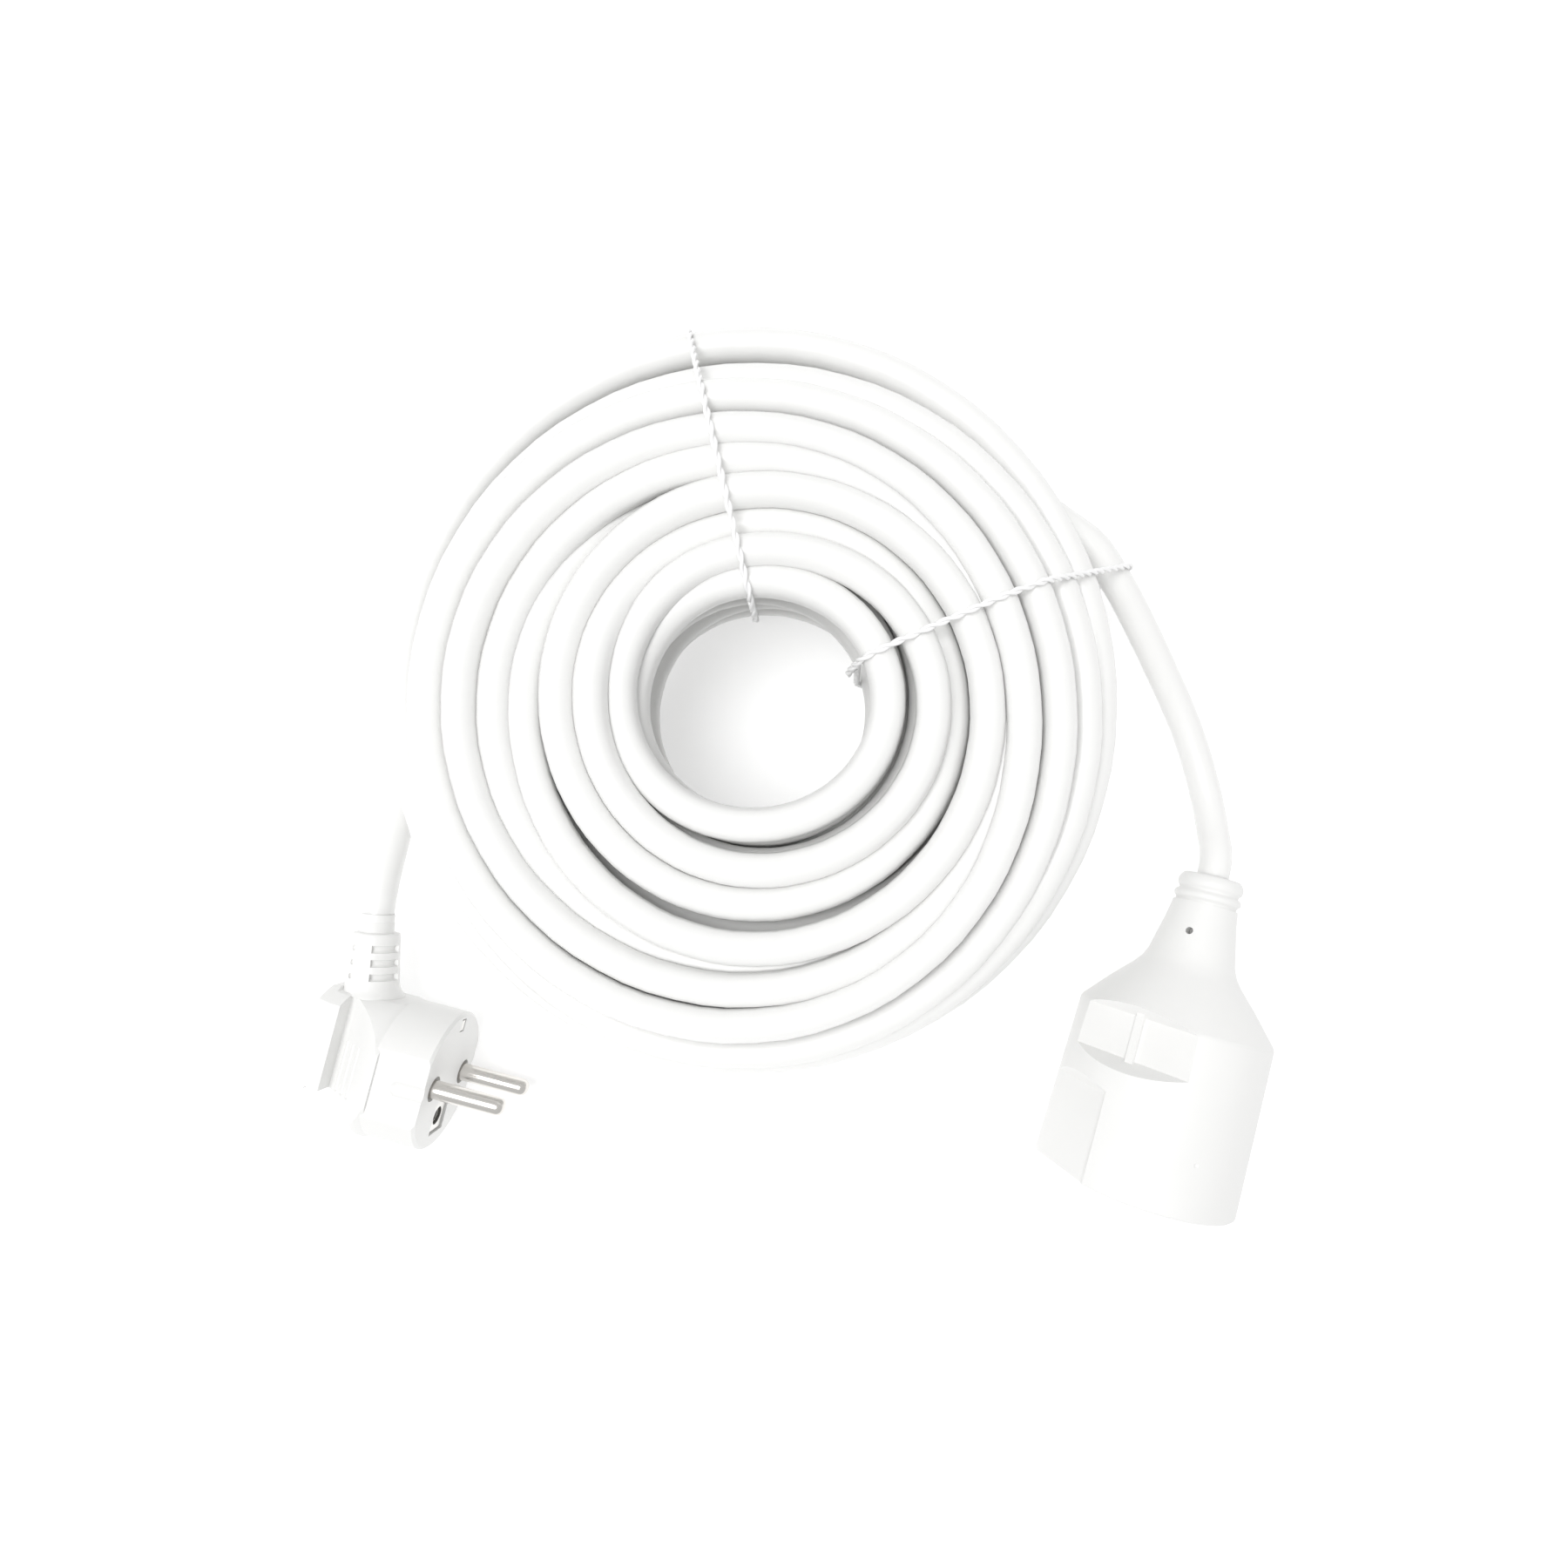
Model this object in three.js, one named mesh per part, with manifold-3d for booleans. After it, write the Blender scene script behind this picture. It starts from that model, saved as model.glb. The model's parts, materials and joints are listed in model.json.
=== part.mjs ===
// Extension cord: an angled two-pole earthed plug, a wound cord held by two wire ties, and an in-line socket.
// Millimetres, +Z up. The object lies on z = 0 and its box is centred on the origin.
import * as THREE from 'three';
import { mergeVertices } from 'three/addons/utils/BufferGeometryUtils.js';
import Module from 'manifold-3d';

const wasm = await Module();
wasm.setup();

// Driving dimensions
const gap = 0.3;                 // room between neighbouring pieces
const cordRadius = 3.9;          // three-core 1.5 mm2 flexible cord, 7.8 mm across
const cordBore = cordRadius + gap;
const coreRadius = 1.3;          // one insulated core
const pinSpacing = 19;           // between the two live pins
const pinRadius = 2.4;
const pinLength = 19;
const earthOffset = 10;          // earth contact hole from the pin line
const plug = {
  faceRadius: 18.5,
  flatHalf: 16.2,                // half thickness of the front drum across its flats
  gripHalf: 16.9,                // half thickness of the rear grip, which the plug lies on
  drumDepth: 13,
  depth: 34,
  gripTop: 17.6,                 // height of the grip where the cord leaves it
  reliefAt: -26,                 // where the strain relief stands, behind the face
  reliefLength: 20,
  reliefLean: THREE.MathUtils.degToRad(10),
  insertRadius: 15,
};
const socket = {
  rimRadius: 26,
  shoulderRadius: 24.6,
  bodyLength: 43,
  neckStart: 58,
  neckEnd: 73.5,
  length: 80,
  recessRadius: 19.5,
  recessDepth: 17.5,
  linerRadius: 20.3,
  floorBack: 21,
  baseStart: 27,
  baseEnd: 40.6,
  baseRadius: 13.8,
};
const shutterTravel = 6;
const plugPlace = [-57.4, -113.7, plug.gripHalf];   // centre of the plug's face, from the coil's centre
const socketPlace = [122.4, -90, socket.rimRadius]; // centre of the socket's rim, from the coil's centre

// The coil's section as radius and height, from the foot of the hole up, over the top and down the outside
const coilSection = [
  [34.5, 0], [29.5, 12], [26.5, 26], [24.5, 42], [23.6, 58], [25.5, 64], [29, 65.6], [58, 65.4],
  [66, 63.5], [74, 59], [81, 52.5], [88, 43.5], [91.2, 34], [91.6, 24], [91, 12], [87.5, 3], [84, 0],
].map(([radius, height]) => new THREE.Vector2(radius, height));

// The cord's run from the plug's strain relief to the foot of the coil
const plugRun = [
  [-87.03, -76.1, 16.9], [-88.3, -68.5, 15.8], [-89.8, -60, 13], [-91.5, -50, 9.4], [-93.2, -39, 6.3],
  [-94.2, -27, 4.5], [-94, -15, 4], [-92, -3, 3.95], [-88.5, 9, 3.95], [-83.5, 20, 3.95],
];
// The cord's run from the outer side of the coil to the neck of the socket
const socketRun = [
  [57, 68, 34], [66.8, 63.6, 33.4], [76.5, 57.2, 31.2], [87, 48.7, 27], [98, 39, 22], [109, 27.5, 18.3],
  [117, 15, 17.8], [121.2, 3.5, 21], [122.4, -4.3, 25], [122.4, -9.6, 26],
];

const whitePvc = { color: 0xf4f3f0, roughness: 0.45, metalness: 0 };
const hardPlastic = { color: 0xe9e8e4, roughness: 0.55, metalness: 0 };
const nickel = { color: 0xc9c7c0, roughness: 0.25, metalness: 1 };
const brass = { color: 0xc9a65a, roughness: 0.35, metalness: 1 };
const steel = { color: 0xb8bcc0, roughness: 0.3, metalness: 1 };
const tieWhite = { color: 0xfafafa, roughness: 0.5, metalness: 0 };
const coreFinishes = {
  line: { color: 0x6b3f22, roughness: 0.5, metalness: 0 },
  neutral: { color: 0x2d5fa8, roughness: 0.5, metalness: 0 },
  earth: { color: 0x7aa52f, roughness: 0.5, metalness: 0 },
};

// Geometry in and out of the library that joins and cuts

function solidOf(geometry) {
  const bare = geometry.clone();
  bare.deleteAttribute('normal');
  bare.deleteAttribute('uv');
  const merged = mergeVertices(bare, 1e-4);
  return new wasm.Manifold(new wasm.Mesh({
    numProp: 3,
    vertProperties: Float32Array.from(merged.attributes.position.array),
    triVerts: Uint32Array.from(merged.index.array),
  }));
}

function geometryOf(solid) {
  const mesh = solid.getMesh();
  const geometry = new THREE.BufferGeometry();
  geometry.setAttribute('position', new THREE.BufferAttribute(Float32Array.from(mesh.vertProperties), 3));
  geometry.setIndex(new THREE.BufferAttribute(Uint32Array.from(mesh.triVerts), 1));
  geometry.computeVertexNormals();
  return geometry;
}

function join(first, ...others) {
  return geometryOf(others.reduce((solid, other) => solid.add(solidOf(other)), solidOf(first)));
}

function cut(body, ...tools) {
  return geometryOf(tools.reduce((solid, tool) => solid.subtract(solidOf(tool)), solidOf(body)));
}

function common(first, second) {
  return geometryOf(solidOf(first).intersect(solidOf(second)));
}

// Plain shapes

function box(low, high) {
  const size = high.map((value, axis) => value - low[axis]);
  const centre = low.map((value, axis) => value + size[axis] / 2);
  return new THREE.BoxGeometry(...size).translate(...centre);
}

// A cylinder along Y between two stations
function rodY(radius, start, end, segments = 20) {
  const length = end - start;
  return new THREE.CylinderGeometry(radius, radius, length, segments).translate(0, start + length / 2, 0);
}

// A cylinder along X between two stations
function rodX(radius, start, end, segments = 20) {
  return rodY(radius, start, end, segments).rotateZ(-Math.PI / 2);
}

// A profile of [radius, height] corners spun about Y; a profile off the axis is closed on itself
function turned(profile, segments) {
  const corners = profile.map(([radius, height]) => new THREE.Vector2(radius, height));
  if (corners[0].x > 0) {
    corners.push(corners[0].clone());
  }
  return new THREE.LatheGeometry(corners, segments);
}

// A round bar along a smooth curve through the given points
function bar(points, radius, sides, steps) {
  const curve = new THREE.CatmullRomCurve3(points.map((point) => new THREE.Vector3(...point)), false, 'centripetal');
  const section = new THREE.Shape();
  for (let side = 0; side < sides; side += 1) {
    const angle = (side / sides) * Math.PI * 2;
    const x = radius * Math.cos(angle);
    const y = radius * Math.sin(angle);
    if (side === 0) {
      section.moveTo(x, y);
    } else {
      section.lineTo(x, y);
    }
  }
  return new THREE.ExtrudeGeometry(section, { steps, extrudePath: curve, bevelEnabled: false });
}

function part(name, geometry, finish) {
  const mesh = new THREE.Mesh(geometry, new THREE.MeshStandardMaterial(finish));
  mesh.name = name;
  return mesh;
}

// Plug. Its face is at x = 0 and looks along +X, its pin line is Z and the cord leaves along +Y.

// A disc with two flats across Z, from one station to another along X
function flattenedDrum(radius, flat, from, to) {
  const corner = Math.asin(flat / radius);
  const outline = new THREE.Shape();
  outline.absarc(0, 0, radius, -corner, corner, false);
  outline.absarc(0, 0, radius, Math.PI - corner, Math.PI + corner, false);
  const upright = new THREE.Matrix4().makeBasis(
    new THREE.Vector3(0, 1, 0),
    new THREE.Vector3(0, 0, 1),
    new THREE.Vector3(1, 0, 0),
  );
  const drum = new THREE.ExtrudeGeometry(outline, { depth: to - from, bevelEnabled: false, curveSegments: 10 });
  return drum.applyMatrix4(upright).translate(from, 0, 0);
}

// The rear grip seen along Z: a full-height step behind the drum, then a shorter block with a rear flange
function gripOutline() {
  const outline = new THREE.Shape();
  outline.moveTo(-plug.drumDepth + 1, -18);
  outline.lineTo(-plug.drumDepth + 1, 18.2);
  outline.lineTo(-31.5, 17.4);
  outline.lineTo(-32, 18.2);
  outline.lineTo(-plug.depth, 18.2);
  outline.lineTo(-plug.depth, -8);
  outline.lineTo(-32, -8);
  outline.lineTo(-31.5, -7);
  outline.lineTo(-19, -9);
  outline.lineTo(-17, -11);
  outline.lineTo(-17, -18);
  outline.closePath();
  return new THREE.ExtrudeGeometry(outline, { depth: 2 * plug.gripHalf + 4, bevelEnabled: false })
    .translate(0, 0, -plug.gripHalf - 2);
}

function plugBody() {
  const drum = flattenedDrum(plug.faceRadius, plug.flatHalf, -plug.drumDepth, 0);
  const grip = common(flattenedDrum(18.9, plug.gripHalf, -plug.depth, -plug.drumDepth + 0.5), gripOutline());
  const outside = join(drum, grip);
  const insertRoom = rodX(plug.insertRadius + gap, -11.3, -2, 32);
  const wiringRoom = box([-29, -5.5, -13], [-11, 9, 13]);
  const cordRoom = rodY(cordBore, 8, 20).translate(plug.reliefAt, 0, 0);
  const stripRoom = box([-14.6, -16.9, -2.3], [-1.5, 16.9, 2.3]);
  const stripWindow = box([-11, -20, -2.3], [-2.6, 20, 2.3]);
  const stripSlot = box([-3, 13.4, -1.3], [1, 16.9, 1.3]);
  const earthWindow = box([-3, -14.4, -4.2], [1, -5.6, 4.2]);
  const pinRooms = [1, -1].map((side) => rodX(3.7, -3, 1).translate(0, 0, (side * pinSpacing) / 2));
  const notches = [1, -1].map((side) => rodX(2.7, -9, 1).translate(0, 0, side * (plug.flatHalf + 0.6)));
  return cut(
    outside, insertRoom, wiringRoom, cordRoom, stripRoom, stripWindow, stripSlot, earthWindow, ...pinRooms, ...notches,
  );
}

// The rigid bridge that carries the pins, moulded into the body
function plugInsert() {
  const disc = rodX(plug.insertRadius, -11, -2.3, 32);
  const pinBores = [1, -1].map((side) => rodX(pinRadius + gap, -12, 0).translate(0, 0, (side * pinSpacing) / 2));
  const sleeveBore = rodX(3.5, -12, 0).translate(0, -earthOffset, 0);
  return cut(disc, ...pinBores, sleeveBore);
}

function plugPin() {
  const tip = 1.7;
  return turned([
    [0, -14], [1.7, -14], [1.7, -11.6], [pinRadius, -11.6], [pinRadius, pinLength - tip],
    [pinRadius - 0.5, pinLength - 0.6], [1.2, pinLength], [0, pinLength],
  ], 20).rotateZ(-Math.PI / 2);
}

// The earth strip: a bar behind the bridge and a tab along each edge of the drum
function plugEarthStrip() {
  const bridge = box([-14.3, -16.6, -2], [-13.3, 16.6, 2]);
  const tabs = [1, -1].map((side) => {
    const inner = side * (plug.insertRadius + 0.6);
    const outer = side * 16.6;
    return box([-13.8, Math.min(inner, outer), -2], [-1.8, Math.max(inner, outer), 2]);
  });
  return join(bridge, ...tabs);
}

// The earth sleeve, which takes an earth pin through the face
function plugEarthSleeve() {
  const plate = box([-2, -3.9, -3.8], [-1.2, 3.9, 3.8]);
  const sleeve = rodX(3.2, -11, -1.5);
  return cut(join(plate, sleeve), rodX(2.4, -10, 0)).translate(0, -earthOffset, 0);
}

// The leaning strain relief, whose foot is trimmed level with the top of the grip
function plugRelief() {
  const sleeve = turned([
    [cordBore, -2], [6.6, -2], [6.2, 6], [5.6, plug.reliefLength - 2.4], [5.9, plug.reliefLength - 2],
    [5.9, plug.reliefLength - 0.8], [5.3, plug.reliefLength], [cordBore, plug.reliefLength],
  ], 20);
  const leaning = sleeve.rotateZ(plug.reliefLean).translate(plug.reliefAt, plug.gripTop, 0);
  const belowFoot = box([plug.reliefAt - 10, plug.gripTop - 6, -10], [plug.reliefAt + 10, plug.gripTop + 0.6, 10]);
  return cut(leaning, belowFoot);
}

function plugAssembly() {
  const group = new THREE.Group();
  group.position.set(...plugPlace);
  group.add(part('plug_body', plugBody(), whitePvc));
  group.add(part('plug_insert', plugInsert(), hardPlastic));
  group.add(part('plug_earth_strip', plugEarthStrip(), nickel));
  group.add(part('plug_earth_sleeve', plugEarthSleeve(), nickel));
  group.add(part('plug_strain_relief', plugRelief(), whitePvc));
  const lean = plug.reliefLean;
  const reliefEnd = plug.reliefLength - 0.5;
  const jacket = [
    [plug.reliefAt, 9.5, 0], [plug.reliefAt, 14, 0], [plug.reliefAt - 0.1, plug.gripTop, 0],
    [plug.reliefAt - Math.sin(lean) * 9, plug.gripTop + Math.cos(lean) * 9, 0],
    [plug.reliefAt - Math.sin(lean) * reliefEnd, plug.gripTop + Math.cos(lean) * reliefEnd, 0],
  ];
  group.add(part('plug_cord_end', bar(jacket, cordRadius, 12, 10), whitePvc));
  const wires = { line: 1, neutral: -1 };
  for (const [wire, side] of Object.entries(wires)) {
    const z = (side * pinSpacing) / 2;
    group.add(part(`plug_${wire}_pin`, plugPin().translate(0, 0, z), nickel));
    group.add(part(`plug_${wire}_crimp`, rodX(2, -19.3, -14.3, 16).translate(0, 0, z), brass));
    const core = [[-19.9, 0, z], [-21, 0, z], [-23.4, 0.6, z * 0.85], [-25.6, 3, z * 0.4], [-27, 8.8, side * 1.7]];
    group.add(part(`plug_${wire}_core`, bar(core, coreRadius, 8, 10), coreFinishes[wire]));
  }
  group.add(part('plug_earth_crimp', rodX(2, -19.3, -14.6, 16), brass));
  const earthCore = [[-19.9, 0, 0], [-21, 0, 0], [-23, 0.8, 0], [-24.2, 3.4, 0], [-24.2, 8.8, 0]];
  group.add(part('plug_earth_core', bar(earthCore, coreRadius, 8, 10), coreFinishes.earth));
  return group;
}

// Socket. Its rim is at y = 0 and looks along -Y, its pin line is X and the cord leaves along +Y.

// A flat pocket in the side of the body: its floor stands off the axis by reach, facing the given angle
function sidePocket(reach, halfWidth, angle, from, to) {
  return box([-halfWidth, from, reach], [halfWidth, to, reach + 20]).rotateY(-angle);
}

function socketBody() {
  const bore = socket.linerRadius + gap;
  const shell = turned([
    [bore, 0], [socket.rimRadius - 0.6, 0], [socket.rimRadius, 0.6], [socket.shoulderRadius, socket.bodyLength],
    [17.5, 50.5], [11.6, 56.4], [10.2, socket.neckStart + 1], [7.9, socket.neckEnd], [cordBore, socket.neckEnd],
    [cordBore, 57], [5, 56], [14.2, 45], [14.2, 26.4], [bore, 26.4],
  ], 40);
  const handGrip = sidePocket(15.4, 22, THREE.MathUtils.degToRad(36), 27.7, 42);
  const sidePanel = sidePocket(21.7, 16, THREE.MathUtils.degToRad(58), -1, 22);
  return cut(shell, handGrip, sidePanel);
}

// The rigid liner: the round recess, its floor with the pin holes, and the shutter's guides behind the floor
function socketInsert() {
  const cup = turned([
    [0, socket.recessDepth], [socket.recessRadius, socket.recessDepth], [socket.recessRadius, 0],
    [socket.linerRadius, 0], [socket.linerRadius, socket.floorBack], [0, socket.floorBack],
  ], 40);
  const back = socket.floorBack - 0.5;
  const sides = [1, -1];
  const keys = sides.map((side) => box([-1.3, 1, -2.2], [1.3, 18, 2.2]).translate(side * 18.7, 0, 0));
  const rails = sides.map((side) => box([-0.8, back, -11.5], [0.8, 25.2, 11.5]).translate(side * 14.4, 0, 0));
  const springSeat = box([-2.6, back, -16.8], [2.6, 25.2, -15.4]);
  const pinHoles = sides.map((side) => rodY(2.9, 16, 23).translate((side * pinSpacing) / 2, 0, 0));
  const stripHoles = sides.map((side) => box([-3.3, 16, -0.8], [3.3, 23, 0.8]).translate(0, 0, side * 18.2));
  return cut(join(cup, ...keys, ...rails, springSeat), ...pinHoles, ...stripHoles);
}

function socketContactBase() {
  const block = rodY(socket.baseRadius, socket.baseStart, socket.baseEnd, 28);
  const bores = [1, -1].map((side) => rodY(3.5, 26, 42).translate((side * pinSpacing) / 2, 0, 0));
  const tongueSlot = box([-2.3, 26, -0.8], [2.3, 42, 0.8]);
  return cut(block, ...bores, tongueSlot);
}

function socketContact() {
  const sleeve = turned([[2.45, 27.4], [3.2, 27.4], [3.2, 41], [2.45, 41]], 18);
  return cut(sleeve, box([-0.35, 27, 0], [0.35, 38, 4]));
}

// The earth bracket: a spring tab at the top and bottom of the recess, a cross bar and a tongue to the crimp
function socketEarthBracket() {
  const crossBar = box([-3, 25.5, -18.6], [3, 26.3, 18.6]);
  const tongue = box([-2, 26, -0.5], [2, 44, 0.5]);
  const tabs = [1, -1].map((side) => box([-3, 3, -0.4], [3, 26, 0.4]).translate(0, 0, side * 18.2));
  return join(crossBar, tongue, ...tabs);
}

// The shutter: a plate that closes the pin holes, with two windows that come down to them
function socketShutter() {
  const plate = box([-13.2, 22, -5], [13.2, 24.6, 11]);
  const windows = [1, -1].map((side) => rodY(3, 21, 26).translate((side * pinSpacing) / 2, 0, shutterTravel));
  return cut(plate, ...windows);
}

function shutterSpring() {
  const turns = 5;
  const foot = -15;
  const head = -5.4;
  const points = [];
  for (let step = 0; step <= turns * 10; step += 1) {
    const angle = (step / 10) * Math.PI * 2;
    const height = foot + 0.3 + ((head - foot - 0.6) * step) / (turns * 10);
    points.push([1.6 * Math.cos(angle), 23.3 + 1.6 * Math.sin(angle), height]);
  }
  return bar(points, 0.25, 4, turns * 10);
}

function socketRelief() {
  const start = socket.neckEnd + gap;
  return turned([
    [cordBore, start], [7.4, start], [7.4, start + 1], [8.1, start + 1.4], [8.1, start + 2.6], [7.3, start + 3],
    [7.3, start + 3.8], [7.9, start + 4.2], [7.9, socket.length - 0.5], [7.4, socket.length], [cordBore, socket.length],
  ], 24);
}

function socketAssembly() {
  const group = new THREE.Group();
  group.position.set(...socketPlace);
  group.add(part('socket_body', socketBody(), whitePvc));
  group.add(part('socket_insert', socketInsert(), hardPlastic));
  group.add(part('socket_contact_base', socketContactBase(), hardPlastic));
  group.add(part('socket_earth_bracket', socketEarthBracket(), nickel));
  group.add(part('socket_shutter', socketShutter(), hardPlastic));
  group.add(part('shutter_spring', shutterSpring(), steel));
  group.add(part('socket_strain_relief', socketRelief(), whitePvc));
  group.add(part('socket_cord_end', rodY(cordRadius, 57.5, socket.length - 0.5, 16), whitePvc));
  const wires = { line: 1, neutral: -1 };
  for (const [wire, side] of Object.entries(wires)) {
    const x = (side * pinSpacing) / 2;
    group.add(part(`socket_${wire}_contact`, socketContact().translate(x, 0, 0), brass));
    group.add(part(`socket_${wire}_crimp`, rodY(1.9, 41.3, 44.5, 16).translate(x, 0, 0), brass));
    const core = [[x, 45, 0], [x, 45.8, 0], [x * 0.75, 48.6, 0], [side * 2.6, 52.6, 0], [side * 1.7, 56.9, 0]];
    group.add(part(`socket_${wire}_core`, bar(core, coreRadius, 8, 10), coreFinishes[wire]));
  }
  group.add(part('socket_earth_crimp', rodY(1.9, 44.3, 48.5, 16), brass));
  const earthCore = [[0, 49, 0], [0, 49.8, 0.1], [0, 52.4, 1.9], [0, 54.6, 2.4], [0, 56.9, 2.4]];
  group.add(part('socket_earth_core', bar(earthCore, coreRadius, 8, 8), coreFinishes.earth));
  return group;
}

// Cord and ties

// The coil's section moved out by a distance on all sides
function offsetSection(section, distance) {
  return section.map((corner, index) => {
    const before = section[(index + section.length - 1) % section.length];
    const after = section[(index + 1) % section.length];
    const along = after.clone().sub(before).normalize();
    return new THREE.Vector2(corner.x - along.y * distance, corner.y + along.x * distance);
  });
}

// The coil ring about Z
function coilRing(grow) {
  const section = offsetSection(coilSection, grow);
  const profile = section.map((corner) => [corner.x, corner.y]).reverse();
  return turned(profile, 48).rotateX(Math.PI / 2);
}

// A closed outline with more corners, so that no side is longer than the given length
function withShortSides(outline, longest) {
  return outline.flatMap((corner, index) => {
    const next = outline[(index + 1) % outline.length];
    const pieces = Math.ceil(corner.distanceTo(next) / longest);
    return Array.from({ length: pieces }, (_, piece) => corner.clone().lerp(next, piece / pieces));
  });
}

// A wire tie round the coil: angle is its heading from the coil's centre and aside is how far its plane misses it.
// It runs down the hole from the knot, under the coil, up the outside and back over the top to the knot, and
// both of its ends stand into the hole, side by side.
function tiePoints({ angle, aside }) {
  const loop = offsetSection(coilSection, 0.8);
  loop.forEach((corner) => corner.setY(Math.max(corner.y, 1.5)));
  const knot = 3;
  const round = [...loop.slice(0, knot).reverse(), ...loop.slice(knot + 1).reverse()];
  const fromKnot = withShortSides(round, 14).slice(0, -1);
  const { x: radius, y: height } = loop[knot];
  const firstEnd = [new THREE.Vector2(radius - 7, height - 2), new THREE.Vector2(radius - 1.5, height - 0.6)];
  const lastEnd = [new THREE.Vector2(radius - 1.5, height + 1.6), new THREE.Vector2(radius - 7, height + 0.4)];
  return [...firstEnd, ...fromKnot, ...lastEnd].map((corner) => {
    const along = Math.sqrt(Math.max(corner.x * corner.x - aside * aside, 0));
    const x = along * Math.cos(angle) + aside * Math.sin(angle);
    const y = along * Math.sin(angle) - aside * Math.cos(angle);
    return [x, y, corner.y];
  });
}

const ties = {
  tie_top: { angle: THREE.MathUtils.degToRad(118), aside: 4 },
  tie_right: { angle: THREE.MathUtils.degToRad(38.3), aside: 1.9 },
};

function cordAssembly() {
  const group = new THREE.Group();
  const tieList = Object.entries(ties);
  const grooves = tieList.map(([, tie]) => bar(tiePoints(tie), 1, 5, 48));
  group.add(part('cord_coil', cut(coilRing(0), ...grooves), whitePvc));
  const ringWithRoom = coilRing(gap);
  group.add(part('cord_plug_lead', cut(bar(plugRun, cordRadius, 10, 14), ringWithRoom), whitePvc));
  group.add(part('cord_socket_lead', cut(bar(socketRun, cordRadius, 10, 14), ringWithRoom, ...grooves), whitePvc));
  for (const [name, tie] of tieList) {
    group.add(part(name, bar(tiePoints(tie), 0.6, 5, 48), tieWhite));
  }
  return group;
}

const extensionCord = new THREE.Group();
extensionCord.add(plugAssembly(), socketAssembly(), cordAssembly());
extensionCord.updateMatrixWorld(true);
const room = new THREE.Box3().setFromObject(extensionCord, true);
extensionCord.position.set(-(room.min.x + room.max.x) / 2, -(room.min.y + room.max.y) / 2, -room.min.z);
extensionCord.updateMatrixWorld(true);

export default extensionCord;
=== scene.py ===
"""Extension cord: a wound white cord with two wire ties, an angled earthed plug and an in-line socket."""
import json
import math

import bmesh
import bpy
from mathutils import Matrix, Vector

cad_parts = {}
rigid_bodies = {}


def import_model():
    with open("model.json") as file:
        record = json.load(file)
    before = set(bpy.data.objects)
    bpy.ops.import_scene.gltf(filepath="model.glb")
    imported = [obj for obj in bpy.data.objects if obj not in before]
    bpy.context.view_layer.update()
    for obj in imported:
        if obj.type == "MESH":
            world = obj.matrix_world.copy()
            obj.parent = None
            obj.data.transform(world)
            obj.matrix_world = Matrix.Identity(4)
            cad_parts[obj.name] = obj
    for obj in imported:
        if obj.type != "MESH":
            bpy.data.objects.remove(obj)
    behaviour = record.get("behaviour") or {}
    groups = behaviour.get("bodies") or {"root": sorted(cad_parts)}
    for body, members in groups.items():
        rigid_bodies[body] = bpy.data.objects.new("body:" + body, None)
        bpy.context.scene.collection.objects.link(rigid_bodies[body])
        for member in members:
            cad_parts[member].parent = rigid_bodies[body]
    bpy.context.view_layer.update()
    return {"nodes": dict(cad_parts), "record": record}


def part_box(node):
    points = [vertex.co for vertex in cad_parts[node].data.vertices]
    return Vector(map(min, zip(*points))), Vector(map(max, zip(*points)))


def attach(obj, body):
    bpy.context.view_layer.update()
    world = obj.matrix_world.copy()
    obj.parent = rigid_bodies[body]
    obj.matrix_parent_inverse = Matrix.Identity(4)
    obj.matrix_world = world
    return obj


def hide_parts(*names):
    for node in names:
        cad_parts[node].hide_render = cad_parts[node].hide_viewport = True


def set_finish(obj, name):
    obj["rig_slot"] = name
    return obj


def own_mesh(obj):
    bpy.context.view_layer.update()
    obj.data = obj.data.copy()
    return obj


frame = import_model()
MM = 0.001

# Places, all worked out from the frame

coil_low, coil_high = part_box("cord_coil")
COIL = Vector(((coil_low.x + coil_high.x) / 2, (coil_low.y + coil_high.y) / 2, 0))
insert_low, insert_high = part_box("plug_insert")
_, body_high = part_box("plug_body")
PLUG = Vector((body_high.x, (insert_low.y + insert_high.y) / 2, (insert_low.z + insert_high.z) / 2))
cup_low, cup_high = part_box("socket_insert")
SOCKET = Vector(((cup_low.x + cup_high.x) / 2, cup_low.y, (cup_low.z + cup_high.z) / 2))
spring_low, spring_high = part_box("shutter_spring")

# Driving sizes in millimetres, as every size below unless it says otherwise

GAP = 0.3
CORD_RADIUS = 3.9
CORD_BORE = CORD_RADIUS + GAP
SNUG = CORD_RADIUS + 0.03    # the bore where a strain relief grips the cord
LIP = 0.9                    # how far a strain relief reaches past where its cord's run starts or ends
PIN_SPACING = 19
PIN_RADIUS = 2.4
PIN_LENGTH = 19
PIN_TIP = 2.2                # the length of a pin's rounded tip
EARTH_OFFSET = 10
DRUM_RADIUS = 18.5
DRUM_FLAT = 16.2
DRUM_DEPTH = 13
GRIP_HALF = 16.9
PLUG_DEPTH = 34
GRIP_TOP = 17.6
RELIEF_AT = -26
RELIEF_LENGTH = 20
SLEEVE_LENGTH = 4            # the thin sleeve at the end of the plug's strain relief
RELIEF_LEAN = math.radians(10)
INSERT_RADIUS = 15


def metres(x, y, z, origin=COIL):
    """A point given in millimetres from an origin, in the frame's metres."""
    return origin + Vector((x, y, z)) * MM


# Camera: straight above, close, turned so that the plug's pins point right and a little down

CAMERA_TURN = math.radians(15)
CAMERA_HEIGHT = 262
CAMERA_FOOT = (21.5, -28.6)    # the point below the camera, from the coil's centre


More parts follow.
